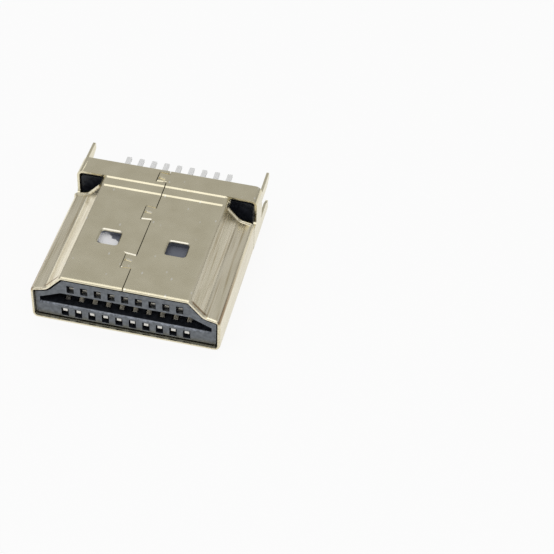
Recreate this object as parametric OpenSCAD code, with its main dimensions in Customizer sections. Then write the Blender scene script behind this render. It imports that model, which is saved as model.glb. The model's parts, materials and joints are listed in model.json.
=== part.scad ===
// Metal-shelled plug with 19 contacts in two rows, soldered over the edge of a board.
// X runs across the plug, +Y runs from the mating mouth to the solder tails, and +Z is up.
// The origin is the middle of the mouth's lower outer edge, with the wide face lying on Z = 0.

/* [Shell profile] */
// Width over the two side walls
shell_w = 13.9; // [13.6:0.05:14.3]
// Height between the wide face and the narrow face
shell_h = 4.45; // [4.35:0.01:4.6]
// Thickness of the folded sheet
sheet = 0.2; // [0.18:0.01:0.22]
// Height of the edge where a side wall turns inward to the shoulder
side_h = 2.9; // [2.8:0.01:2.95]
// Width of each shoulder
shoulder_w = 1.12; // [1.05:0.01:1.2]
// Rise of each shoulder towards the middle
shoulder_rise = 0.26; // [0.2:0.01:0.32]
// Width of the narrow face between the edges of its two slopes
crown_w = 9.38; // [9.3:0.02:9.5]
// Outer radius of the two lower edges
low_r = 0.45; // [0.4:0.01:0.55]
// Outer radius of the edge between side wall and shoulder
side_r = 0.42; // [0.36:0.01:0.48]
// Radius of the hollow between shoulder and slope
hollow_r = 0.7; // [0.4:0.01:0.8]
// Outer radius of the edge between slope and narrow face
crown_r = 0.35; // [0.34:0.01:0.45]

/* [Mating tube] */
// Distance from the mouth to the free rear edge of the shoulders
tube_len = 10.42; // [10.3:0.01:10.55]
// Length of the rolled edge at the front rim
rim_len = 0.22; // [0.1:0.01:0.28]
// Depth of the rolled edge at the front rim
rim_in = 0.1; // [0.05:0.01:0.14]
// Length of the raised lip along the rear edge of the shoulders
lip_len = 0.2; // [0.16:0.01:0.25]
// Length over which that lip rises
lip_rise = 0.12; // [0.08:0.01:0.14]
// Height of that lip
lip_out = 0.12; // [0.05:0.01:0.15]
// Distance from the mouth to the near edge of the latch windows
window_y = 4.22; // [3.8:0.02:4.6]
// Length of each latch window
window_len = 1.44; // [1.2:0.02:1.7]
// Width of each latch window
window_w = 1.53; // [1.3:0.02:1.7]
// Distance between the centres of the latch windows
window_pitch = 5.04; // [4.6:0.02:5.4]
// Corner radius of the latch windows
window_r = 0.22; // [0.1:0.02:0.4]

/* [Rear band] */
// Distance from the shoulders' rear edge to the step at the front of the band
band_gap = 0.14; // [0.1:0.01:0.2]
// Height of that step on the wide face
band_step = 0.065; // [0.04:0.005:0.1]
// Height of that step on the side walls
side_step = 0.02; // [0.01:0.005:0.05]
// Length over which that step rises
band_rise = 0.12; // [0.05:0.01:0.2]
// Distance from the shoulders' rear edge to the front edge of the band above them
wing_gap = 0.76; // [0.7:0.01:0.85]
// Distance from the first step of the narrow face back to the shoulders' rear edge
step_back = 0.23; // [0.21:0.01:0.28]
// Height of each of the two steps of the narrow face
crown_step = 0.075; // [0.05:0.005:0.1]
// Length over which each of those steps rises
step_len = 0.12; // [0.08:0.005:0.14]
// Width of the strip between the two steps, whose edges turn down over the slopes
strip_w = 9.95; // [9.8:0.05:10.1]
// Depth of the openings' lower edge under the edge between side wall and shoulder
sill_drop = 0.4; // [0.35:0.01:0.45]
// Fillet at that lower edge
sill_r = 0.3; // [0.1:0.02:0.4]
// Outer radius of the band's two upper edges
band_r = 0.5; // [0.45:0.01:0.6]
// Length of the band, from its step to the rear edge of the wide face
band_len = 2.75; // [2.7:0.01:2.8]
// Length by which the wide face's outer tabs end short of that edge
tab_short = 0.13; // [0.1:0.01:0.16]
// Length by which the side walls end short of it
side_short = 0.27; // [0.24:0.01:0.3]
// Length by which the narrow face ends short of it
narrow_short = 0.43; // [0.38:0.01:0.48]
// Distance between the centres of the two notches of the wide face
notch_pitch = 8.79; // [8.4:0.05:9]
// Width of those notches
notch_w = 1.45; // [1.2:0.05:1.7]
// Depth of those notches from the rear edge of the wide face
notch_depth = 0.86; // [0.75:0.01:0.95]
// Radius in the outer corner of those notches
notch_r = 0.3; // [0.1:0.02:0.4]

/* [Board legs] */
// Length of the four legs behind the rear edge of the wide face
leg_len = 2.07; // [1.8:0.01:2.3]
// Height of the outer edges of the wide-side legs
leg_low = 0.4; // [0.36:0.01:0.5]
// Width of the wide-side legs
low_leg_w = 1.1; // [0.9:0.02:1.2]
// Depth of the outer edges of the narrow-side legs under the narrow face
leg_drop = 0.41; // [0.39:0.01:0.5]
// Width of the narrow-side legs
high_leg_w = 0.94; // [0.8:0.02:1]
// Length of the tapered lead-in at the leg ends
leg_lead = 0.85; // [0.5:0.05:1.1]
// Depth of that taper
leg_taper = 0.35; // [0.2:0.01:0.5]
// Radius of the outer corner of the leg ends
leg_r = 0.12; // [0.05:0.01:0.25]
// Width and depth of the relief notches at the leg roots
relief = 0.14; // [0.08:0.01:0.2]

/* [Seam] */
// Width of the seam's gap
seam_gap = 0.05; // [0.03:0.005:0.08]
// Distance of the seam from the middle
seam_x = -0.1; // [-0.15:0.01:0.15]
// Reach of the dovetail tabs across the seam
tab_reach = 0.77; // [0.5:0.01:1]
// Length of the two tabs on the tube
tab_len = 1.3; // [1:0.02:1.5]
// Length of the tab on the band
band_tab_len = 0.89; // [0.7:0.01:0.95]
// Widening of each tab edge towards the tip
tab_flare = 0.09; // [0.03:0.01:0.15]
// Distance from the mouth to the root of the first tab
tab1_y = 2.21; // [1.9:0.01:2.5]
// Distance from the mouth to the root of the second tab
tab2_y = 7.46; // [7.2:0.01:7.7]
// Distance from the front edge of the band to the root of the third tab
tab3_gap = 0.44; // [0.3:0.01:0.46]
// Depth of the stake pit pressed into each tab
pit_depth = 0.1; // [0.05:0.01:0.12]
// Width of the stake pits
pit_w = 0.52; // [0.35:0.01:0.55]
// Length of the stake pits
pit_len = 0.42; // [0.25:0.01:0.5]
// Distance from a tab's rear edge to the steep wall of its pit
pit_back = 0.43; // [0.4:0.01:0.46]
// Angle between that wall and the plug's width
pit_turn = 13; // [0:1:16]

/* [Mouldings] */
// Clearance between the sheet and the two mouldings
fit_gap = 0.09; // [0.07:0.01:0.1]
// Offset of the mouldings and contacts to one side, within that clearance
play_x = -0.06; // [-0.06:0.01:0.06]
// Distance from the mouth to the face of the front moulding
face_y = 0.31; // [0.28:0.01:0.4]
// Length of the lowered nose at the mouth
nose_len = 3.1; // [2.8:0.05:3.4]
// Depth of that nose under the rest of the front moulding
nose_drop = 0.32; // [0.25:0.01:0.35]
// Distance from the joint between the two mouldings back to the shoulders' rear edge
joint_back = 0.34; // [0.32:0.01:0.5]
// Thickness of the moulding behind the tongue slot
slot_back = 1.4; // [1.2:0.02:1.6]
// Height of the slot's floor over the inside of the sheet
slot_floor = 1.22; // [1.18:0.01:1.26]
// Height of the tongue slot
slot_h = 1.16; // [1.12:0.01:1.2]
// Chamfer along the front edge of the slot's floor
floor_edge = 0.11; // [0.05:0.01:0.14]
// Thickness of the wall at each end of the slot
slot_wall = 0.43; // [0.38:0.01:0.48]
// Height of the slot's upright ends
slot_end_h = 0.46; // [0.35:0.01:0.6]
// Width of each of the slot's sloping ends
slot_slope_w = 1.57; // [1.4:0.01:1.7]
// Width of the contact channels
channel_w = 0.53; // [0.48:0.01:0.58]
// Thickness of the moulding under the lower channels
low_web = 0.1; // [0.08:0.01:0.14]
// Height of the lower channels' front windows
low_window_h = 0.75; // [0.72:0.01:0.79]
// Distance from the slot's ceiling to the far side of the upper channels
high_channel_h = 0.84; // [0.82:0.01:0.88]
// Height of the upper channels' front windows
high_window_h = 0.67; // [0.64:0.01:0.7]
// Length of the bridge over each contact tip
bridge_len = 0.3; // [0.25:0.01:0.32]
// Depth of the two pockets under the latch windows
pocket_depth = 0.3; // [0.2:0.01:0.4]
// Distance from the front edge of the band to the broad part of the rear moulding
block_gap = 0.2; // [0.15:0.01:0.3]
// Length by which the rear moulding ends short of the wide face's rear edge
block_short = 0.13; // [0.1:0.01:0.16]
// Width of the rear moulding's neck
neck_w = 9; // [8.6:0.05:9.1]
// Clearance between the rear moulding and the band's narrow face
block_drop = 0.35; // [0.3:0.01:0.45]
// Corner radius of the rear moulding
block_r = 0.3; // [0.1:0.02:0.5]
// Depth of the cells around the tails
cell_depth = 0.6; // [0.3:0.02:0.7]
// Width of those cells
cell_w = 0.76; // [0.6:0.01:0.85]
// Height of those cells
cell_h = 0.75; // [0.6:0.01:0.9]

/* [Contacts] */
// Distance between neighbouring contacts of one row
pitch = 1.0; // [0.97:0.005:1.03]
// Thickness of the contact strip
contact_t = 0.25; // [0.2:0.01:0.28]
// Width of the contact beams
beam_w = 0.35; // [0.3:0.01:0.38]
// Width of the solder tails
tail_w = 0.38; // [0.32:0.01:0.45]
// Clearance between contacts and mouldings
contact_gap = 0.02; // [0.01:0.005:0.04]
// Clear gap between the two rows of tails, which spring over the board's edge
board_gap = 1.5; // [1.3:0.01:1.6]
// Height of the middle of that gap
board_mid = 2.18; // [2.12:0.01:2.24]
// Length by which the tails end short of the legs
tail_short = 0.08; // [0:0.01:0.5]
// Distance from the mouth to the lower contact tips
low_tip_y = 0.41; // [0.41:0.01:0.46]
// Distance from the mouth to the upper contact tips
high_tip_y = 0.6; // [0.55:0.01:0.62]
// Depth of the lower tips under the slot's floor
low_tip = 0.53; // [0.5:0.01:0.55]
// Depth of the upper tips above the slot's ceiling
high_tip = 0.33; // [0.32:0.01:0.36]
// Length of the flat end of each tip
tip_len = 0.2; // [0.18:0.01:0.24]
// Distance from the mouth to the crest of the beams
crest_y = 2.1; // [1.9:0.02:2.3]
// Height of the crests inside the slot
crest_in = 0.27; // [0.15:0.01:0.3]
// Distance from the mouth to the roots of the beams
root_y = 6.4; // [5.8:0.1:7]
// Depth of the straight beams behind the slot's floor and ceiling
rest_depth = 0.52; // [0.48:0.01:0.56]
// Distance from the joint between the mouldings to the bend between beam and tail
bend_gap = 0.35; // [0.25:0.01:0.4]
// Length of that bend
bend_len = 0.5; // [0.4:0.05:0.7]

/* [Hidden] */
LOWER = [for (i = [1:10]) str("lower_contact_", i)];
UPPER = [for (i = [1:9]) str("upper_contact_", i)];
// Straight pieces in each rounded corner
arc_steps = 6;
// Room by which a cut runs past the surface that it cuts
past = 1;
lip_y = tube_len - lip_len;
band_y = tube_len + band_gap;
wing_y = tube_len + wing_gap;
step_y = tube_len - step_back;
rear_y = band_y + band_len;
rear_tab_y = rear_y - tab_short;
rear_side_y = rear_y - side_short;
rear_narrow_y = rear_y - narrow_short;
leg_y = rear_y + leg_len;
tail_y = leg_y - tail_short;
tab3_y = wing_y + tab3_gap;
joint_y = tube_len - joint_back;
slot_y = joint_y - slot_back;
bend_y = joint_y + bend_gap;
block_y = wing_y + block_gap;
block_rear_y = rear_y - block_short;
sill_h = side_h - sill_drop;
leg_high = shell_h - leg_drop;
floor_z = sheet + slot_floor;
low_channel_z = sheet + fit_gap + low_web;
ceiling_z = floor_z + slot_h;
slot_half = shell_w / 2 - sheet - slot_wall;
low_tail_z = board_mid - board_gap / 2 - contact_t / 2;
high_tail_z = board_mid + board_gap / 2 + contact_t / 2;
tab_z = shell_h + 2 * crown_step;
band_w = shell_w + 2 * side_step;
bridge_y = face_y + bridge_len;

// Unit vector from a to b
function unit(a, b) = (b - a) / norm(b - a);
// Vector v turned to the left by angle t
function turned(v, t) = [v.x * cos(t) - v.y * sin(t), v.x * sin(t) + v.y * cos(t)];
// Move of corner b when both its edges move to their left by 1
function mitre(a, b, c) =
    let (m = turned(unit(a, b), 90), n = turned(unit(b, c), 90))
    (m + n) / (1 + m * n);
// Angle by which the path turns left at corner b
function turn(a, b, c) =
    let (u = unit(a, b), v = unit(b, c))
    atan2(u.x * v.y - u.y * v.x, u * v);
// Arc of radius r in place of corner b
function arc(a, b, c, r) =
    let (t = turn(a, b, c), s = sign(t) * r, centre = b + s * mitre(a, b, c))
    [for (i = [0:arc_steps]) centre - turned(s * turned(unit(a, b), 90), t * i / arc_steps)];
// Closed outline with a radius at each corner, grown inward by inset; a hollow corner has a radius below 0
function rounded(corners, inset = 0) =
    let (n = len(corners))
    [for (i = [0:n - 1])
        let (
            p = [corners[(i + n - 1) % n][0], corners[(i + n - 1) % n][1]],
            q = [corners[i][0], corners[i][1]],
            s = [corners[(i + 1) % n][0], corners[(i + 1) % n][1]],
            r = corners[i][2],
            radius = max(0.08, r > 0 ? r - inset : inset - r)
        )
        each [for (point = arc(p, q, s, radius)) point + inset * mitre(p, q, s)]];
// Open path with its inner corners rounded by r
function bent(path, r) = [
    path[0],
    for (i = [1:len(path) - 2]) each arc(path[i - 1], path[i], path[i + 1], r),
    path[len(path) - 1]
];
// Outline of a strip of thickness t along an open path
function ribbon(path, t) =
    let (
        n = len(path),
        side = [for (i = [0:n - 1])
            i == 0 ? turned(unit(path[0], path[1]), 90)
            : i == n - 1 ? turned(unit(path[n - 2], path[n - 1]), 90)
            : mitre(path[i - 1], path[i], path[i + 1])]
    )
    concat(
        [for (i = [0:n - 1]) path[i] - side[i] * t / 2],
        [for (i = [n - 1:-1:0]) path[i] + side[i] * t / 2]
    );

// Corners and radii of the shell's outer profile, anticlockwise from the lower right
right_side = [
    [shell_w / 2, 0, low_r],
    [shell_w / 2, side_h, side_r],
    [shell_w / 2 - shoulder_w, side_h + shoulder_rise, -hollow_r],
    [crown_w / 2, shell_h, crown_r]
];
profile = concat(
    right_side,
    [for (i = [len(right_side) - 1:-1:0]) [-right_side[i][0], right_side[i][1], right_side[i][2]]]
);
// Corners and radii of the band's outer profile
band_profile = [
    [band_w / 2, -band_step, low_r + band_step],
    [band_w / 2, tab_z, band_r],
    [-band_w / 2, tab_z, band_r],
    [-band_w / 2, -band_step, low_r + band_step]
];
// Section through the sheet over the narrow face and both slopes, raised by rise
function crown_section(rise) =
    let (
        first = 3 * (arc_steps + 1) - 1,
        last = 5 * (arc_steps + 1),
        outer = rounded(profile),
        inner = rounded(profile, sheet)
    )
    [
        for (i = [first:last]) outer[i] + [0, rise],
        for (i = [last:-1:first]) inner[i] + [0, rise]
    ];

// Extrudes an outline drawn in X and Z from y = a to y = b
module along(a, b) translate([0, b, 0]) rotate([90, 0, 0]) linear_extrude(b - a) children();
// Extrudes an outline drawn in Y and Z over a width centred on x
module across(x, w) translate([x - w / 2, 0, 0]) rotate([90, 0, 90]) linear_extrude(w) children();
// Block between two heights, seen in Y and Z from y = a to y = b
module slab(a, b, low, high) translate([a, low]) square([b - a, high - low]);
// Solid through outlines of one shape, each at its own y
module loft(outlines, places) {
    n = len(outlines[0]);
    last = len(outlines) - 1;
    polyhedron(
        points = [for (k = [0:last]) each [for (p = outlines[k]) [p.x, places[k], p.y]]],
        faces = concat(
            [[for (i = [n - 1:-1:0]) i]],
            [for (k = [0:last - 1], i = [0:n - 1]) [
                k * n + i, k * n + (i + 1) % n, (k + 1) * n + (i + 1) % n, (k + 1) * n + i
            ]],
            [[for (i = [0:n - 1]) last * n + i]]
        )
    );
}

// Part of the outline above the openings' lower edge, over the strip
module crown_zone() translate([-strip_w / 2, sill_h]) square([strip_w, shell_h]);
// Parts of the outline above that edge, beside the strip
module lip_zones() difference() {
    translate([-shell_w / 2, sill_h]) square([shell_w, shell_h]);
    crown_zone();
}

// Mating tube with its rim rolled off at the mouth
module tube() difference() {
    rim_angles = [0:22.5:90];
    union() {
        loft(
            [for (a = rim_angles) rounded(profile, rim_in * (1 - sin(a))), rounded(profile)],
            [for (a = rim_angles) rim_len * (1 - cos(a)), lip_y]
        );
        along(lip_y - sheet, step_y + step_len) intersection() {
            polygon(rounded(profile));
            crown_zone();
        }
        along(lip_y - sheet, band_y + sheet) difference() {
            polygon(rounded(profile));
            translate([-shell_w, sill_h]) square([2 * shell_w, shell_h]);
        }
    }
    along(-past, wing_y) polygon(rounded(profile, sheet));
}

// Raised lips along the rear edges of the two shoulders and slopes
module lips() intersection() {
    angles = [0:30:180];
    heights = concat(0, [for (a = angles) lip_out * (1 - cos(a)) / 2], lip_out);
    places = concat(lip_y - sheet, [for (a = angles) lip_y + lip_rise * a / 180], tube_len);
    difference() {
        loft([for (height = heights) rounded(profile, -height)], places);
        loft(
            [for (height = heights) rounded(profile, sheet - height)],
            [0, for (i = [1:len(places) - 2]) places[i], wing_y]
        );
    }
    along(0, wing_y) lip_zones();
}

// Strip that carries the narrow face up two short ramps to the band
module strip() intersection() {
    loft(
        [for (rise = [0, 1, 1, 2, 2]) crown_section(rise * crown_step)],
        [step_y, step_y + step_len, wing_y - step_len, wing_y, wing_y + sheet]
    );
    across(0, strip_w) {
        slab(0, wing_y, sill_h, 2 * shell_h);
        slab(wing_y - past, leg_y, tab_z - sheet, 2 * shell_h);
    }
}

// Side view of one leg, whose tapered edge faces the board
module leg(outer, inner) {
    taper = sign(outer - inner) * leg_taper;
    turn_in = sign(inner - outer) * leg_r;
    polygon([
        [rear_side_y - relief, outer],
        [leg_y - leg_r, outer],
        [leg_y, outer + turn_in],
        [leg_y, inner + taper],
        [leg_y - leg_lead, inner],
        [rear_side_y - relief, inner]
    ]);
}

// Band around the rear end, with the four board legs
module band() difference() {
    intersection() {
        union() {
            loft([rounded(band_profile, band_step), rounded(band_profile)], [band_y - band_rise, band_y]);
            along(band_y, leg_y) polygon(rounded(band_profile));
        }
        across(0, 2 * shell_w) {
            polygon(concat(
                [[band_y - band_rise, -past], [leg_y, -past], [leg_y, leg_low], [rear_side_y, leg_low]],
                [[rear_side_y, leg_high], [rear_narrow_y, leg_high]],
                [[rear_narrow_y, 2 * shell_h], [wing_y, 2 * shell_h]],
                arc([wing_y, 2 * shell_h], [wing_y, sill_h], [band_y, sill_h], sill_r),
                [[band_y - band_rise, sill_h]]
            ));
            leg(leg_low, leg_low + low_leg_w);
            leg(leg_high, leg_high - high_leg_w);
        }
    }
    along(band_y - past, leg_y + past) polygon(rounded(band_profile, sheet));
    across(0, 2 * shell_w) {
        for (root = [leg_low + low_leg_w, leg_high - high_leg_w - relief])
            slab(rear_side_y - relief, rear_side_y + past, root, root + relief);
    }
    translate([-shell_w, rear_tab_y, -past]) cube([2 * shell_w, leg_y, past + leg_low]);
}

// Middle tab of the wide face, which reaches further back than its neighbours
module wide_tab() translate([-notch_pitch / 2, rear_tab_y - sheet, -band_step])
    cube([notch_pitch, tab_short + sheet, sheet]);

// Notch in the rear edge of the wide face, rounded in its outer corner
module notch() linear_extrude(past + low_r, center = true) polygon(concat(
    [[notch_pitch / 2 - notch_w / 2, rear_y + past]],
    [[notch_pitch / 2 - notch_w / 2, rear_y - notch_depth]],
    arc(
        [notch_pitch / 2, rear_y - notch_depth],
        [notch_pitch / 2 + notch_w / 2, rear_y - notch_depth],
        [notch_pitch / 2 + notch_w / 2, rear_y],
        notch_r
    ),
    [[notch_pitch / 2 + notch_w / 2, rear_y + past]]
));

// Outlines of the two latch windows, each side moved out by grow
module windows(grow = 0) for (side = [-1, 1])
    translate([side * window_pitch / 2, window_y + window_len / 2])
        polygon(rounded([
            for (corner = [[1, -1], [1, 1], [-1, 1], [-1, -1]])
                [corner.x * window_w / 2, corner.y * window_len / 2, window_r]
        ], -grow));

// Points of the seam around one tab
function tab_points(y, length) = [
    [seam_x, y], [seam_x - tab_reach, y - tab_flare],
    [seam_x - tab_reach, y + length + tab_flare], [seam_x, y + length]
];
module seam() translate([0, 0, tab_z - sheet - past]) linear_extrude(sheet + 2 * past)
    polygon(ribbon(concat(
        [[seam_x, -past]],
        tab_points(tab1_y, tab_len),
        tab_points(tab2_y, tab_len),
        tab_points(tab3_y, band_tab_len),
        [[seam_x, leg_y]]
    ), seam_gap));

// Pit pressed into a tab, deepest at its slanting rear wall
module pit(rear_y, top) translate([seam_x - tab_reach / 2, rear_y - pit_back, top])
    rotate([0, 0, -pit_turn]) across(0, pit_w)
        polygon([[0, -pit_depth], [0, past], [-pit_len, past], [-pit_len, 0]]);

module shell() color([0.72, 0.69, 0.58]) difference() {
    union() {
        tube();
        lips();
        strip();
        band();
        wide_tab();
    }
    translate([0, 0, shell_h - past]) linear_extrude(2 * past) windows();
    for (side = [0, 1]) mirror([side, 0, 0]) notch();
    seam();
    pit(tab1_y + tab_len, shell_h);
    pit(tab2_y + tab_len, shell_h);
    pit(tab3_y + band_tab_len, tab_z);
}

// Places of the contacts of one row
function row(count) = [for (i = [0:count - 1]) (i - (count - 1) / 2) * pitch];

// Bent line of a contact, from its tip to the end of its tail
function contact_path(tip_y, face, inward, tip, tail_z) = bent([
    [tip_y, face - inward * tip],
    [tip_y + tip_len, face - inward * tip],
    [crest_y, face + inward * crest_in],
    [root_y, face - inward * rest_depth],
    [bend_y, face - inward * rest_depth],
    [bend_y + bend_len, tail_z],
    [tail_y, tail_z]
], contact_t / 2 + 0.03);
lower_path = contact_path(low_tip_y, floor_z, 1, low_tip, low_tail_z);
upper_path = contact_path(high_tip_y, ceiling_z, -1, high_tip, high_tail_z);

// Contact along a path, wider in its tail than in its beam; grow gives the hole that it sits in
module contact(x, path, grow = 0) intersection() {
    across(x, tail_w + 2 * grow) polygon(ribbon(path, contact_t + 2 * grow));
    translate([x, 0, 0]) linear_extrude(2 * shell_h) union() {
        translate([-beam_w / 2 - grow, 0]) square([beam_w + 2 * grow, leg_y]);
        translate([-tail_w / 2 - grow, bend_y + bend_len - grow]) square([tail_w + 2 * grow, leg_y]);
    }
}

// Slot for the mating tongue, with its ends leaning in to follow the shell
module slot() {
    along(-past, slot_y) polygon([
        [-slot_half, floor_z],
        [slot_half, floor_z],
        [slot_half, floor_z + slot_end_h],
        [slot_half - slot_slope_w, ceiling_z],
        [-slot_half + slot_slope_w, ceiling_z],
        [-slot_half, floor_z + slot_end_h]
    ]);
    across(0, 2 * slot_half) polygon([
        [face_y - past, floor_z - floor_edge - past],
        [face_y + floor_edge, floor_z],
        [face_y - past, floor_z]
    ]);
}

module front_insulator() color([0.13, 0.13, 0.15]) translate([play_x, 0, 0]) difference() {
    along(face_y, joint_y) polygon(rounded(profile, sheet + fit_gap));
    along(0, face_y + nose_len) difference() {
        translate([-shell_w, 0]) square([2 * shell_w, 2 * shell_h]);
        translate([0, -nose_drop]) polygon(rounded(profile, sheet + fit_gap));
        translate([-shell_w, 0]) square([2 * shell_w, side_h / 2]);
    }
    slot();
    for (x = row(10)) {
        across(x, channel_w) {
            slab(bridge_y, slot_y, low_channel_z, floor_z + past / 2);
            slab(0, slot_y, low_channel_z, low_channel_z + low_window_h);
        }
        contact(x, lower_path, contact_gap);
    }
    for (x = row(9)) {
        across(x, channel_w) {
            slab(bridge_y, slot_y, ceiling_z - past / 2, ceiling_z + high_channel_h);
            slab(0, slot_y, ceiling_z + high_channel_h - high_window_h, ceiling_z + high_channel_h);
        }
        contact(x, upper_path, contact_gap);
    }
    translate([-play_x, 0, shell_h - sheet - fit_gap - pocket_depth])
        linear_extrude(past) windows(fit_gap);
}

// Cell around each tail of a row at the rear face
module cells(count, z) for (x = row(count))
    translate([x - cell_w / 2, block_rear_y - cell_depth, z - cell_h / 2])
        cube([cell_w, cell_depth + past, cell_h]);

module rear_insulator() color([0.13, 0.13, 0.15]) translate([play_x, 0, 0]) difference() {
    union() {
        along(block_y, block_rear_y) polygon(rounded([
            for (side = [[1, 0], [1, 1], [-1, 1], [-1, 0]]) [
                side.x * (band_w / 2 - sheet - fit_gap),
                side.y == 0 ? sheet - band_step + fit_gap : tab_z - sheet - block_drop,
                block_r
            ]
        ]));
        along(joint_y, block_y) intersection() {
            polygon(rounded(profile, sheet + fit_gap));
            translate([-neck_w / 2, 0]) square([neck_w, shell_h]);
        }
    }
    for (x = row(10)) contact(x, lower_path, contact_gap);
    for (x = row(9)) contact(x, upper_path, contact_gap);
    cells(10, low_tail_z);
    cells(9, high_tail_z);
}

module lower_contact(i) color([0.8, 0.8, 0.78]) contact(play_x + row(10)[i], lower_path);
module upper_contact(i) color([0.8, 0.8, 0.78]) contact(play_x + row(9)[i], upper_path);

shell();
front_insulator();
rear_insulator();
for (i = [0:9]) lower_contact(i);
for (i = [0:8]) upper_contact(i);
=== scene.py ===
import json
import math

import bmesh
import bpy
from mathutils import Matrix, Vector


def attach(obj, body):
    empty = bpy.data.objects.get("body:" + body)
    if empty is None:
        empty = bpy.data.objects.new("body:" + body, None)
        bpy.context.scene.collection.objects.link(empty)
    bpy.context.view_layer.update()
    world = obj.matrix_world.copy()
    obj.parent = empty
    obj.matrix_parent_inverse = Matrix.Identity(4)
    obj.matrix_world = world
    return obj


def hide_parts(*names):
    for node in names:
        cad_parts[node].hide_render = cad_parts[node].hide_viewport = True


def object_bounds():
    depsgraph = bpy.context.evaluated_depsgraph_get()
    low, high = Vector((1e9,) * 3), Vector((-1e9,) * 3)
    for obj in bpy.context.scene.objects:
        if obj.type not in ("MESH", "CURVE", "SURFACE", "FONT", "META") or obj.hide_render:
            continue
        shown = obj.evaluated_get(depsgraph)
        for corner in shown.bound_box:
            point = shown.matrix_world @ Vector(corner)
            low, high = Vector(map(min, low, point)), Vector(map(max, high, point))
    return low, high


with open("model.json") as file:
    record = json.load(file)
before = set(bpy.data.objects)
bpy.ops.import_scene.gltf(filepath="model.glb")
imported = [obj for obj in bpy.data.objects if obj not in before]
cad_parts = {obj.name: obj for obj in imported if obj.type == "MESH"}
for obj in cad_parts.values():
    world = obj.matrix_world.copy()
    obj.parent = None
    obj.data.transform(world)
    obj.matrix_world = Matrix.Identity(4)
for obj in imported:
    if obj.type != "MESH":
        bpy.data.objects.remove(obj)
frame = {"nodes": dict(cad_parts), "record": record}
cad_low, cad_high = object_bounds()
nodes = frame["nodes"]

MM = 0.001

# The camera of the photograph, worked out in millimetres from the plug's own sizes. Its clips are in metres.
CAMERA_PLACE = Vector((23.94, -72.37, 80.39))
CAMERA_FORWARD = Vector((-0.1278, 0.7031, -0.6996))
CAMERA_UP = Vector((-0.178, 0.678, 0.714))
FOCAL_PIXELS = 1539.9
IMAGE_PIXELS = 554
SENSOR = 36.0
CLIP_START = 0.005
CLIP_END = 5

# The lamp overhead, in millimetres and watts.
LAMP_PLACE = Vector((-10, -75, 310))
LAMP_SIZE = 460
LAMP_POWER = 0.56

# The floor's reach each way in metres, its colour, and the share that the camera and mirrors see as white.
FLOOR_HALF = 0.4
FLOOR_COLOUR = (0.86, 0.86, 0.86)
FLOOR_GLOW = 0.9

# Grey of the surround by height, from 0 at the horizon to 1 overhead: white, a dim band, then mid grey.
SURROUND = ((0.0, 1.0), (0.04, 0.95), (0.09, 0.3), (0.2, 0.32), (0.4, 0.48), (1.0, 0.5))

# Radii of the worn and rolled edges, in millimetres.
SHEET_EDGE = 0.028
MOULDING_EDGE = 0.02
CONTACT_EDGE = 0.02
# Only edges sharper than this many degrees are rounded, and none beside faces smaller than this many mm2.
SHARP_ANGLE = 32
SMALL_FACE = 0.022
# Edges shorter than this stay sharp too where they end an edge that has no room to be rounded.
SHORT_EDGE = 0.25
# Points nearer than this are one point, and faces that turn by fewer degrees than this are one face.
SAME_POINT = 1e-4
SAME_FACE = 1

# Width of the bright slopes around the latch windows, in the stake pits and along the seam's tabs.
STAMPED_EDGE = 0.08
# Where those edges lie on the shell, in millimetres.
NARROW_SIDE = 4.44
WINDOWS_ACROSS = (1.5, 3.5)
WINDOWS_ALONG = (4, 6)
TABS_ACROSS = (-1, 0.05)
TABS_BEHIND = 1
PITS_ACROSS = (-0.6, -0.4)
PITS_ABOVE = 4.3
# Parts of a face's normal that tell how it lies: level, square to the mouth, and the pits' slanting walls.
LEVEL = 0.95
SQUARE = -0.98
PIT_SLANT = (-0.98, -0.9)
PIT_RISE = 0.1
# A window's rim turns by more than this many radians.
RIM_TURN = 1

# How far the top of the bridge over each lower contact's tip leans back, over the beam that rises behind it.
BRIDGE_LEAN = 0.35
# The back edges of those tops: how far back they lie, how high, how far out to the sides, and to what error.
BRIDGE_BACK = 0.61
BRIDGE_TOP = 1.42
BRIDGES_REACH = 5
BRIDGE_ERROR = 0.01

# How much of the colour under them the painted dark reflections, painted chamfer highlights, flecks and
# painted light in the grey pockets hide.
DARK_REFLECTION_COVER = 0.85
CHAMFER_HIGHLIGHT_COVER = 0.5
FLECK_COVER = 0.8
POCKET_LIGHT_COVER = 0.9


def node_tree(material):
    """Empties a material's nodes and gives its tree and a new shader."""
    material.use_nodes = True
    tree = material.node_tree
    tree.nodes.clear()
    output = tree.nodes.new("ShaderNodeOutputMaterial")
    shader = tree.nodes.new("ShaderNodeBsdfPrincipled")
    tree.links.new(shader.outputs["BSDF"], output.inputs["Surface"])
    return tree, shader


def coordinates(tree, kind):
    """The place that is being shaded, or the direction in a world."""
    return tree.nodes.new("ShaderNodeTexCoord").outputs[kind]


def parts_of(tree, vector):
    """X, Y and Z of a vector."""
    split = tree.nodes.new("ShaderNodeSeparateXYZ")
    tree.links.new(vector, split.inputs["Vector"])
    return [split.outputs[axis] for axis in "XYZ"]


def normal_parts(tree):
    """X, Y and Z of the surface's normal."""
    geometry = tree.nodes.new("ShaderNodeNewGeometry")
    return parts_of(tree, geometry.outputs["Normal"])


def scaled(tree, place, factors):
    """A place with each axis multiplied by its factor."""
    mapping = tree.nodes.new("ShaderNodeMapping")
    for axis, factor in enumerate(factors):
        mapping.inputs["Scale"].default_value[axis] = factor
    tree.links.new(place, mapping.inputs["Vector"])
    return mapping.outputs["Vector"]


def noise(tree, place, size_mm, detail, stretch=(1, 1, 1)):
    """Noise whose features are about size_mm across, stretched along the axes."""
    stretched = scaled(tree, place, [1 / (size_mm * MM * factor) for factor in stretch])
    texture = tree.nodes.new("ShaderNodeTexNoise")
    texture.inputs["Scale"].default_value = 1.0
    texture.inputs["Detail"].default_value = detail
    tree.links.new(stretched, texture.inputs["Vector"])
    return texture.outputs["Fac"]


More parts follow.
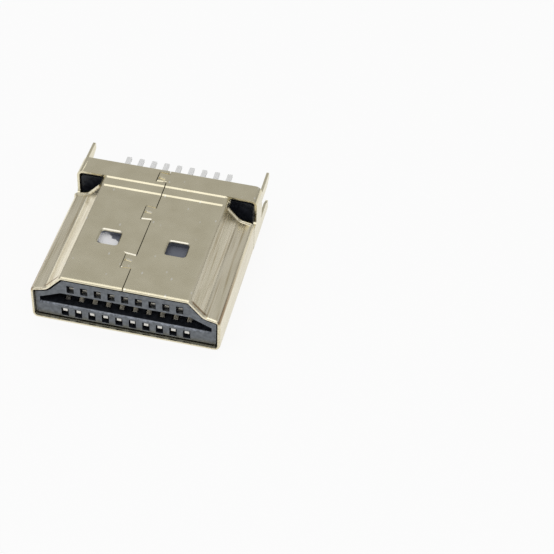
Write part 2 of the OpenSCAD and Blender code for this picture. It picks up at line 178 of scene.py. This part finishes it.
def spread(tree, value, low, high, start=0.3, end=0.7):
    """Goes from low to high while the value goes from start to end, between which most noise lies."""
    ranged = tree.nodes.new("ShaderNodeMapRange")
    ranged.inputs["From Min"].default_value = start
    ranged.inputs["From Max"].default_value = end
    ranged.inputs["To Min"].default_value = low
    ranged.inputs["To Max"].default_value = high
    tree.links.new(value, ranged.inputs["Value"])
    return ranged.outputs["Result"]


def maths(tree, operation, first, second=None):
    """Result of one sum on sockets or plain numbers."""
    node = tree.nodes.new("ShaderNodeMath")
    node.operation = operation
    for place, value in zip(node.inputs, (first, second)):
        if isinstance(value, (int, float)):
            place.default_value = value
        elif value is not None:
            tree.links.new(value, place)
    return node.outputs[0]


def product(tree, *values):
    """All the values multiplied."""
    result = values[0]
    for value in values[1:]:
        result = maths(tree, "MULTIPLY", result, value)
    return result


def largest(tree, *values):
    """The largest of the values."""
    result = values[0]
    for value in values[1:]:
        result = maths(tree, "MAXIMUM", result, value)
    return result


def past(tree, value, start_mm, end_mm):
    """Rises from 0 where the value is start_mm to 1 where it is end_mm."""
    return spread(tree, value, 0, 1, start=start_mm * MM, end=end_mm * MM)


def within(tree, value, start_mm, full_mm, fading_mm, end_mm):
    """Rises from 0 at start_mm to 1 at full_mm, and falls again from 1 at fading_mm to 0 at end_mm."""
    return product(tree, past(tree, value, start_mm, full_mm), past(tree, value, end_mm, fading_mm))


def blend(tree, factor, first, second):
    """Colour that turns from the first into the second by the factor. Each is a tuple or a socket."""
    mix = tree.nodes.new("ShaderNodeMix")
    mix.data_type = "RGBA"
    tree.links.new(factor, mix.inputs["Factor"])
    for name, colour in (("A", first), ("B", second)):
        if isinstance(colour, tuple):
            mix.inputs[name].default_value = (*colour, 1)
        else:
            tree.links.new(colour, mix.inputs[name])
    return mix.outputs["Result"]


def bump(tree, shader, height, depth_mm):
    """Bumps the surface by a height texture."""
    node = tree.nodes.new("ShaderNodeBump")
    node.inputs["Strength"].default_value = 1.0
    node.inputs["Distance"].default_value = depth_mm * MM
    tree.links.new(height, node.inputs["Height"])
    tree.links.new(node.outputs["Normal"], shader.inputs["Normal"])


def blob(tree, place, centre_mm, radius_mm, ragged):
    """Round patch with a soft edge, which a noise value moves in and out."""
    swing = 0.06 * MM
    soft_mm = 0.08
    away = tree.nodes.new("ShaderNodeVectorMath")
    away.operation = "DISTANCE"
    away.inputs[1].default_value = [value * MM for value in centre_mm]
    tree.links.new(place, away.inputs[0])
    distance = maths(tree, "ADD", away.outputs["Value"], spread(tree, ragged, -swing, swing))
    return past(tree, distance, radius_mm, radius_mm - soft_mm)


def specks(tree, place, gap_mm, size_mm, share):
    """Small spots, twice as long along the plug as across it, in the given share of cells of gap_mm."""
    cells = scaled(tree, place, [factor / (gap_mm * MM) for factor in (1, 0.5, 1)])
    texture = tree.nodes.new("ShaderNodeTexVoronoi")
    texture.inputs["Scale"].default_value = 1.0
    tree.links.new(cells, texture.inputs["Vector"])
    radius = size_mm / gap_mm
    near = spread(tree, texture.outputs["Distance"], 1, 0, start=0.5 * radius, end=radius)
    picked = maths(tree, "LESS_THAN", parts_of(tree, texture.outputs["Color"])[0], share)
    return product(tree, near, picked)


def plated_sheet():
    """Pale gold plating over rolled sheet: satin, cloudy and streaked, with a painted sheen and painted dark
    reflections on the formed slopes and painted highlights on the chamfers.
    """
    pale, light, painted_sheen = (0.72, 0.66, 0.48), (0.80, 0.74, 0.555), (0.93, 0.86, 0.68)
    worn, painted_dark_reflection = (0.47, 0.37, 0.20), (0.26, 0.16, 0.08)
    chamfer_highlight, speckled = (0.97, 0.94, 0.86), (0.97, 0.95, 0.88)
    material = bpy.data.materials.new("plated_sheet")
    tree, shader = node_tree(material)
    place = coordinates(tree, "Object")
    x, y, z = parts_of(tree, place)
    side = maths(tree, "ABSOLUTE", x)
    cloud = noise(tree, place, 1.4, detail=4)
    grain = noise(tree, place, 0.06, detail=3)
    streak = noise(tree, place, 0.14, detail=3, stretch=(1, 34, 1))
    band = noise(tree, place, 0.45, detail=2, stretch=(1, 20, 1))
    tint = blend(tree, spread(tree, cloud, 0, 1), pale, light)

    # The tube's upper slopes and side walls are lightened in bands by a painted sheen, and forming has
    # streaked the slopes and side walls.
    formed = product(tree, past(tree, side, 4.5, 4.9), past(tree, y, 10.4, 10.2))
    sheen_bands = spread(tree, band, 0.4, 1, start=0.35, end=0.6)
    tint = blend(tree, product(tree, sheen_bands, formed, past(tree, z, 2.75, 2.95)), tint, painted_sheen)
    streaks = spread(tree, streak, 0, 0.7, start=0.48, end=0.72)
    tint = blend(tree, product(tree, streaks, formed), tint, worn)

    # Painted dark reflections lie along the shoulder's outer edge, and on the slope close behind the rim.
    shoulder = product(tree, past(tree, side, 6.7, 6.8), within(tree, z, 2.64, 2.72, 2.86, 2.92))
    shoulder = product(tree, shoulder, past(tree, y, 7.5, 1.5))
    slope = product(tree, within(tree, side, 4.75, 4.95, 5.8, 6.0), past(tree, z, 2.8, 3))
    behind_rim = product(tree, slope, within(tree, y, 0.15, 0.2, 0.3, 0.4))
    tint = blend(tree, product(tree, largest(tree, shoulder, behind_rim), DARK_REFLECTION_COVER), tint, painted_dark_reflection)

    # The chamfers of the windows and the seam are lightened by a painted highlight, and the narrow side is
    # flecked.
    normal = normal_parts(tree)
    chamfers = spread(tree, product(tree, normal[1], normal[2]), 1, 0, start=-0.45, end=-0.2)
    stamped = product(tree, past(tree, side, 3.6, 3.5), within(tree, y, 1.9, 2, 9.5, 9.6))
    tint = blend(tree, product(tree, chamfers, stamped, CHAMFER_HIGHLIGHT_COVER), tint, chamfer_highlight)
    flecks = specks(tree, place, gap_mm=0.55, size_mm=0.08, share=0.5)
    tint = blend(tree, product(tree, flecks, past(tree, z, 4.2, 4.4), FLECK_COVER), tint, speckled)

    tree.links.new(tint, shader.inputs["Base Color"])
    shader.inputs["Metallic"].default_value = 1.0
    tree.links.new(spread(tree, grain, 0.2, 0.32), shader.inputs["Roughness"])
    bump(tree, shader, grain, 0.0016)
    return material


def moulding():
    """Dark moulded plastic, scuffed grey on the face in the mouth and paler on its edges, with painted light
    in the pockets under the latch windows.
    """
    dark, cloudy = (0.008, 0.009, 0.012), (0.024, 0.027, 0.036)
    scuffed, scuffed_lip = (0.26, 0.28, 0.34), (0.42, 0.45, 0.52)
    pocket_fill_light, patch_white = (0.17, 0.18, 0.22), (0.93, 0.93, 0.95)
    cool_shine = (0.86, 0.93, 1.0)
    material = bpy.data.materials.new("moulding")
    tree, shader = node_tree(material)
    place = coordinates(tree, "Object")
    x, y, z = parts_of(tree, place)
    side = maths(tree, "ABSOLUTE", x)
    steepest = largest(tree, *[maths(tree, "ABSOLUTE", part) for part in normal_parts(tree)])
    cloud = noise(tree, place, 0.35, detail=4)
    grain = noise(tree, place, 0.05, detail=2)
    dash = noise(tree, place, 0.22, detail=3)
    patches = noise(tree, place, 0.3, detail=3)
    tint = blend(tree, spread(tree, cloud, 0, 1), dark, cloudy)

    # The face in the mouth has scuffed edges, and the floor of the tongue slot a paler lip.
    face = past(tree, y, 0.46, 0.36)
    rounded = spread(tree, steepest, 1, 0, start=0.9, end=0.98)
    dashes = spread(tree, dash, 0.1, 0.9, start=0.42, end=0.58)
    tint = blend(tree, product(tree, face, rounded, dashes), tint, scuffed)
    lip = product(tree, face, within(tree, z, 1.35, 1.39, 1.43, 1.45), past(tree, side, 6, 5))
    tint = blend(tree, product(tree, lip, spread(tree, dash, 0.3, 1)), tint, scuffed_lip)

    # Below the latch windows the shadowed pockets are lightened to grey by painted light, with a white patch
    # in the left one.
    pocket = product(tree, past(tree, z, 3.6, 3.7), within(tree, y, 4.1, 4.3, 5.7, 5.9))
    tint = blend(tree, product(tree, pocket, POCKET_LIGHT_COVER), tint, pocket_fill_light)
    front = blob(tree, place, (-2.42, 4.85, 3.86), 0.6, dash)
    back = blob(tree, place, (-2.98, 5.22, 3.86), 0.58, dash)
    tint = blend(tree, product(tree, largest(tree, front, back), pocket), tint, patch_white)

    tree.links.new(tint, shader.inputs["Base Color"])
    tree.links.new(spread(tree, cloud, 0.3, 0.46), shader.inputs["Roughness"])
    shader.inputs["IOR"].default_value = 1.9
    shader.inputs["Specular Tint"].default_value = (*cool_shine, 1)
    gloss = spread(tree, patches, 0.48, 0.78, start=0.35, end=0.65)
    shine = product(tree, maths(tree, "ADD", face, 0.3), gloss)
    tree.links.new(shine, shader.inputs["Specular IOR Level"])
    bump(tree, shader, grain, 0.003)
    return material


def contact_metal():
    """Strip with thin, dull gold on the beams, a painted highlight on their tips, and pale tin on the solder
    tails, drawn along the contact.
    """
    dull_gold, thin_gold, tip_highlight = (0.55, 0.52, 0.45), (0.70, 0.67, 0.59), (0.72, 0.71, 0.68)
    dull_tin, pale_tin = (0.92, 0.92, 0.91), (0.97, 0.97, 0.96)
    material = bpy.data.materials.new("contact")
    tree, shader = node_tree(material)
    place = coordinates(tree, "Object")
    y = parts_of(tree, place)[1]
    streak = noise(tree, place, 0.05, detail=3, stretch=(1, 12, 1))
    drawn = spread(tree, streak, 0, 1)
    beam = blend(tree, drawn, dull_gold, thin_gold)
    # The tips are painted pale, a painted highlight.
    beam = blend(tree, past(tree, y, 0.58, 0.54), beam, tip_highlight)
    tin = blend(tree, drawn, dull_tin, pale_tin)
    tinned = past(tree, y, 10, 11)
    tree.links.new(blend(tree, tinned, beam, tin), shader.inputs["Base Color"])
    tree.links.new(spread(tree, tinned, 1, 0.45, start=0, end=1), shader.inputs["Metallic"])
    roughness = maths(tree, "ADD", spread(tree, streak, 0.28, 0.4), product(tree, tinned, 0.2))
    tree.links.new(roughness, shader.inputs["Roughness"])
    bump(tree, shader, streak, 0.002)
    return material


def between(value, limits):
    """Whether a value lies between two limits."""
    low, high = limits
    return low < value < high


def flat_faced(mesh):
    """A copy of a mesh to work on, with the triangles of each flat face joined."""
    work = bmesh.new()
    work.from_mesh(mesh)
    bmesh.ops.remove_doubles(work, verts=work.verts, dist=SAME_POINT)
    bmesh.ops.dissolve_degenerate(work, edges=work.edges, dist=SAME_POINT)
    turn = math.radians(SAME_FACE)
    bmesh.ops.dissolve_limit(work, angle_limit=turn, verts=work.verts, edges=work.edges, delimit=set())
    return work


def lean_bridges(work):
    """Moves the back edge of each bridge's top, on the floor of the tongue slot, back."""
    for vert in work.verts:
        off_back = max(abs(vert.co.y - BRIDGE_BACK), abs(vert.co.z - BRIDGE_TOP))
        if off_back < BRIDGE_ERROR and abs(vert.co.x) < BRIDGES_REACH:
            vert.co.y += BRIDGE_LEAN
    work.normal_update()


def room_beside(edge, rounding):
    """How near to an edge's line the far ends of the flat edges lie that leave its two ends."""
    room = 1.0
    for end in edge.verts:
        along = (edge.other_vert(end).co - end.co).normalized()
        for flat in end.link_edges:
            reach = flat.other_vert(end).co - end.co
            if not flat[rounding] and reach.dot(along) > 0:
                room = min(room, reach.cross(along).length)
    return room


def keep_sharp(edges, rounding):
    """Leaves edges as they are: not rounded, and sharp in the shading."""
    for edge in edges:
        edge[rounding] = 0
        edge.smooth = False


def choose_rounded(work, edge_mm):
    """Marks the sharp edges that have room to be rounded, and gives the layer with the marks."""
    rounding = work.edges.layers.float.new("bevel_weight_edge")
    for edge in work.edges:
        sharp = edge.calc_face_angle(0) > math.radians(SHARP_ANGLE)
        roomy = min(face.calc_area() for face in edge.link_faces) > SMALL_FACE
        edge[rounding] = float(sharp and roomy)
        edge.smooth = roomy or not sharp
    for edge in [e for e in work.edges if e[rounding] and room_beside(e, rounding) < edge_mm]:
        short = [e for end in edge.verts for e in end.link_edges if e.calc_length() < SHORT_EDGE]
        keep_sharp([edge, *short], rounding)
    return rounding


def is_pit_wall(face):
    """Whether a face of the sheet is the slanting rear wall of a stake pit."""
    middle = face.calc_center_median()
    slants = between(face.normal.y, PIT_SLANT) and face.normal.z < PIT_RISE
    return slants and between(middle.x, PITS_ACROSS) and middle.z > PITS_ABOVE


def is_stamped(edge):
    """Whether an edge of the sheet rings a latch window, or looks to the mouth at one of the seam's tabs."""
    middle = (edge.verts[0].co + edge.verts[1].co) / 2
    if middle.z < NARROW_SIDE or not any(face.normal.z > LEVEL for face in edge.link_faces):
        return False
    if between(middle.x, TABS_ACROSS) and middle.y > TABS_BEHIND:
        return any(face.normal.y < SQUARE for face in edge.link_faces)
    at_window = between(middle.y, WINDOWS_ALONG) and between(abs(middle.x), WINDOWS_ACROSS)
    return at_window and edge.calc_face_angle(0) > RIM_TURN


def slope_stampings(work, rounding):
    """Slopes the rear walls of the stake pits, and chamfers the windows' rims and the seam's tabs."""
    for wall in [face for face in work.faces if is_pit_wall(face)]:
        middle = wall.calc_center_median()
        for vert in [v for v in wall.verts if v.co.z < middle.z]:
            vert.co += wall.normal * STAMPED_EDGE
        keep_sharp(wall.edges, rounding)
    work.normal_update()
    stamped = [edge for edge in work.edges if is_stamped(edge)]
    for edge in stamped:
        edge[rounding] = 0
    made = bmesh.ops.bevel(
        work, geom=stamped, offset=STAMPED_EDGE, segments=1, profile=0.5, affect="EDGES", clamp_overlap=False
    )
    for face in made["faces"]:
        keep_sharp(face.edges, rounding)


def rounded_mesh(piece, edge_mm):
    """A piece's mesh with its marked edges rounded and its flat faces shaded flat."""
    bevel = piece.modifiers.new("rounding", "BEVEL")
    bevel.limit_method = "WEIGHT"
    bevel.width = edge_mm
    bevel.segments = 2
    bevel.use_clamp_overlap = False
    shading = piece.modifiers.new("shading", "WEIGHTED_NORMAL")
    shading.keep_sharp = True
    bpy.context.view_layer.update()
    mesh = bpy.data.meshes.new_from_object(piece.evaluated_get(bpy.context.evaluated_depsgraph_get()))
    piece.modifiers.clear()
    return mesh


def softened(node, edge_mm, material):
    """A copy of a node whose sharp edges are rounded, made in millimetres and shown in the node's place."""
    mesh = nodes[node].data.copy()
    mesh.name = node + "_soft"
    mesh.materials.clear()
    mesh.transform(Matrix.Scale(1 / MM, 4))
    work = flat_faced(mesh)
    if node == "front_insulator":
        lean_bridges(work)
    rounding = choose_rounded(work, edge_mm)
    if node == "shell":
        slope_stampings(work, rounding)
    for face in work.faces:
        face.smooth = True
    work.to_mesh(mesh)
    work.free()
    piece = bpy.data.objects.new(node + "_soft", mesh)
    bpy.context.scene.collection.objects.link(piece)
    piece.data = rounded_mesh(piece, edge_mm)
    piece.data.transform(Matrix.Scale(MM, 4))
    piece.data.materials.append(material)
    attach(piece, "root")
    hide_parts(node)
    return piece


def build_plug():
    """Dresses every node of the plug."""
    looks = {
        "plated_sheet": (plated_sheet(), SHEET_EDGE),
        "moulding": (moulding(), MOULDING_EDGE),
        "contact": (contact_metal(), CONTACT_EDGE),
    }
    for part in frame["record"]["subparts"]:
        slot = part["material_slot"]
        material, edge = looks[slot]
        piece = softened(part["node"], edge, material)


def build_floor():
    """A wide white table top that stays white to the camera and in mirrors, and keeps a faint shadow."""
    mesh = bpy.data.meshes.new("floor")
    corners = [(-1, -1), (1, -1), (1, 1), (-1, 1)]
    mesh.from_pydata([(x * FLOOR_HALF, y * FLOOR_HALF, cad_low.z) for x, y in corners], [], [(0, 1, 2, 3)])
    floor = bpy.data.objects.new("floor", mesh)
    bpy.context.scene.collection.objects.link(floor)
    material = bpy.data.materials.new("floor")
    tree, shader = node_tree(material)
    shader.inputs["Base Color"].default_value = (*FLOOR_COLOUR, 1)
    shader.inputs["Roughness"].default_value = 0.9
    surface = shader.outputs["BSDF"].links[0].to_socket
    glow = tree.nodes.new("ShaderNodeEmission")
    mix = tree.nodes.new("ShaderNodeMixShader")
    path = tree.nodes.new("ShaderNodeLightPath")
    rays = [path.outputs[kind] for kind in ("Is Camera Ray", "Is Glossy Ray", "Is Transmission Ray")]
    tree.links.new(product(tree, largest(tree, *rays), FLOOR_GLOW), mix.inputs["Fac"])
    tree.links.new(shader.outputs["BSDF"], mix.inputs[1])
    tree.links.new(glow.outputs["Emission"], mix.inputs[2])
    tree.links.new(mix.outputs["Shader"], surface)
    mesh.materials.append(material)


def build_world():
    """Studio surround in greys that change with the height above the horizon."""
    world = bpy.data.worlds.new("studio")
    bpy.context.scene.world = world
    world.use_nodes = True
    tree = world.node_tree
    tree.nodes.clear()
    output = tree.nodes.new("ShaderNodeOutputWorld")
    background = tree.nodes.new("ShaderNodeBackground")
    ramp = tree.nodes.new("ShaderNodeValToRGB")
    stops = ramp.color_ramp.elements
    stops[0].position = SURROUND[0][0]
    stops[1].position = SURROUND[-1][0]
    for height, _ in SURROUND[1:-1]:
        stops.new(height)
    for stop, (_, grey) in zip(stops, SURROUND):
        stop.color = (grey, grey, grey, 1)
    tree.links.new(parts_of(tree, coordinates(tree, "Generated"))[2], ramp.inputs["Fac"])
    tree.links.new(ramp.outputs["Color"], background.inputs["Color"])
    tree.links.new(background.outputs["Background"], output.inputs["Surface"])


def build_lamp():
    """A square soft box that points at the plug from above."""
    lamp = bpy.data.lights.new("overhead", "AREA")
    lamp.shape = "SQUARE"
    lamp.size = LAMP_SIZE * MM
    lamp.energy = LAMP_POWER
    box = bpy.data.objects.new("overhead", lamp)
    box.location = LAMP_PLACE * MM
    target = (cad_low + cad_high) / 2
    box.rotation_mode = "QUATERNION"
    box.rotation_quaternion = (target - box.location).to_track_quat("-Z", "Y")
    bpy.context.scene.collection.objects.link(box)


def build_camera():
    """The photograph's own viewpoint."""
    data = bpy.data.cameras.new("camera")
    data.sensor_width = SENSOR
    data.lens = SENSOR * FOCAL_PIXELS / IMAGE_PIXELS
    data.clip_start = CLIP_START
    data.clip_end = CLIP_END
    camera = bpy.data.objects.new("camera", data)
    forward = CAMERA_FORWARD.normalized()
    right = forward.cross(CAMERA_UP).normalized()
    up = right.cross(forward)
    turn = Matrix((right, up, -forward)).transposed()
    camera.matrix_world = Matrix.Translation(CAMERA_PLACE * MM) @ turn.to_4x4()
    bpy.context.scene.collection.objects.link(camera)
    bpy.context.scene.camera = camera


build_plug()
build_floor()
build_world()
build_lamp()
build_camera()
bpy.context.scene.view_settings.view_transform = "Standard"
